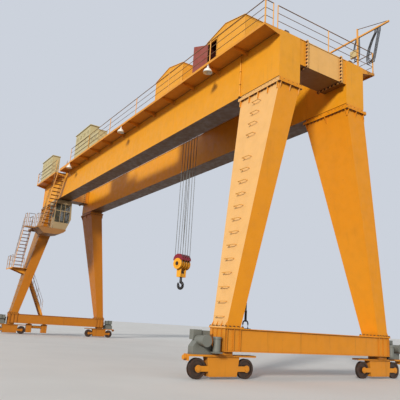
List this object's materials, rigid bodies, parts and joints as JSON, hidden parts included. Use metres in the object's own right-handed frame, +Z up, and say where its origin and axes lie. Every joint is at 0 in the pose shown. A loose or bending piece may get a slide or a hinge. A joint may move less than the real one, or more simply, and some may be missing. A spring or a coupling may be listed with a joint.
{
  "type": "gantry crane",
  "caption": "Double girder gantry crane on rails: box girders on leaning box legs, winch trolley with hook, cabin under a girder, stairs and walkways.",
  "frame": {"origin": "on the rail heads, under the middle of the span and midway between the two girders", "axes": "+X along the span towards the end with the cable mast, +Y along the runway rails away from the cabin side, +Z up"},
  "size_m": [34.08, 10.83, 15.904],
  "materials": {
    "yellow_paint": "satin",
    "rail_steel": "worn",
    "machine_grey": "satin",
    "lamp_white": "gloss",
    "cabinet_beige": "satin",
    "cabin_olive": "satin",
    "cabin_glass": "clear",
    "maroon_paint": "satin",
    "wire_rope": "greased",
    "black_steel": "satin",
    "cable_black": "matt",
    "deck_steel": "worn",
    "wheel_steel": "worn"
  },
  "bodies": {
    "gantry": {"girder_front": "yellow_paint", "girder_rear": "yellow_paint", "trolley_rails": "rail_steel", "tie_beams": "yellow_paint", "legs_near": "yellow_paint", "legs_far": "yellow_paint", "sill_beams": "yellow_paint", "bogies": "yellow_paint", "travel_drives": "machine_grey", "rail_clamp": "yellow_paint", "step_irons": "yellow_paint", "walkway_front": "deck_steel", "walkway_rear": "deck_steel", "railing_front": "yellow_paint", "railing_rear": "yellow_paint", "railing_ends": "yellow_paint", "lamps": "lamp_white", "electrical_cabinets": "cabinet_beige", "cabin_shell": "cabin_olive", "cabin_glass": "cabin_glass", "cabin_door": "cabin_olive", "cabin_platform": "deck_steel", "stair_lower": "yellow_paint", "stair_middle": "yellow_paint", "stair_upper": "yellow_paint", "stair_landings": "deck_steel", "stair_railings": "yellow_paint", "festoon_track": "yellow_paint", "festoon_cables": "cable_black"},
    "wheel_front_near_outer": {"wheel_front_near_outer": "wheel_steel"},
    "wheel_front_near_inner": {"wheel_front_near_inner": "wheel_steel"},
    "wheel_rear_near_inner": {"wheel_rear_near_inner": "wheel_steel"},
    "wheel_rear_near_outer": {"wheel_rear_near_outer": "wheel_steel"},
    "wheel_front_far_outer": {"wheel_front_far_outer": "wheel_steel"},
    "wheel_front_far_inner": {"wheel_front_far_inner": "wheel_steel"},
    "wheel_rear_far_inner": {"wheel_rear_far_inner": "wheel_steel"},
    "wheel_rear_far_outer": {"wheel_rear_far_outer": "wheel_steel"},
    "trolley": {"trolley_frame": "yellow_paint", "winch_gear": "machine_grey", "winch_houses": "yellow_paint", "winch_house_door": "maroon_paint", "ropes": "wire_rope"},
    "block": {"hook_block": "yellow_paint", "block_guard": "maroon_paint"},
    "hook": {"hook": "black_steel"}
  },
  "joints": [
    {"name": "wheel_front_near_outer_spin", "type": "hinge", "parent": "gantry", "child": "wheel_front_near_outer", "pos_m": [15.225, -4.895, 0.325], "axis": [1, 0, 0], "continuous": true},
    {"name": "wheel_front_near_inner_spin", "type": "hinge", "parent": "gantry", "child": "wheel_front_near_inner", "pos_m": [15.225, -2.965, 0.325], "axis": [1, 0, 0], "continuous": true},
    {"name": "wheel_rear_near_inner_spin", "type": "hinge", "parent": "gantry", "child": "wheel_rear_near_inner", "pos_m": [15.225, 2.965, 0.325], "axis": [1, 0, 0], "continuous": true},
    {"name": "wheel_rear_near_outer_spin", "type": "hinge", "parent": "gantry", "child": "wheel_rear_near_outer", "pos_m": [15.225, 4.895, 0.325], "axis": [1, 0, 0], "continuous": true},
    {"name": "wheel_front_far_outer_spin", "type": "hinge", "parent": "gantry", "child": "wheel_front_far_outer", "pos_m": [-15.225, -4.895, 0.325], "axis": [1, 0, 0], "continuous": true},
    {"name": "wheel_front_far_inner_spin", "type": "hinge", "parent": "gantry", "child": "wheel_front_far_inner", "pos_m": [-15.225, -2.965, 0.325], "axis": [1, 0, 0], "continuous": true},
    {"name": "wheel_rear_far_inner_spin", "type": "hinge", "parent": "gantry", "child": "wheel_rear_far_inner", "pos_m": [-15.225, 2.965, 0.325], "axis": [1, 0, 0], "continuous": true},
    {"name": "wheel_rear_far_outer_spin", "type": "hinge", "parent": "gantry", "child": "wheel_rear_far_outer", "pos_m": [-15.225, 4.895, 0.325], "axis": [1, 0, 0], "continuous": true},
    {"name": "trolley_travel", "type": "slide", "parent": "gantry", "child": "trolley", "axis": [1, 0, 0], "range_m": [-19.4, 2.4]},
    {"name": "hoist", "type": "slide", "parent": "trolley", "child": "block", "axis": [0, 0, 1], "range_m": [0, 6.6], "deforming": ["ropes"]},
    {"name": "hook_swivel", "type": "hinge", "parent": "block", "child": "hook", "pos_m": [5.57, 0, 4.54], "axis": [0, 0, 1], "continuous": true}
  ]
}
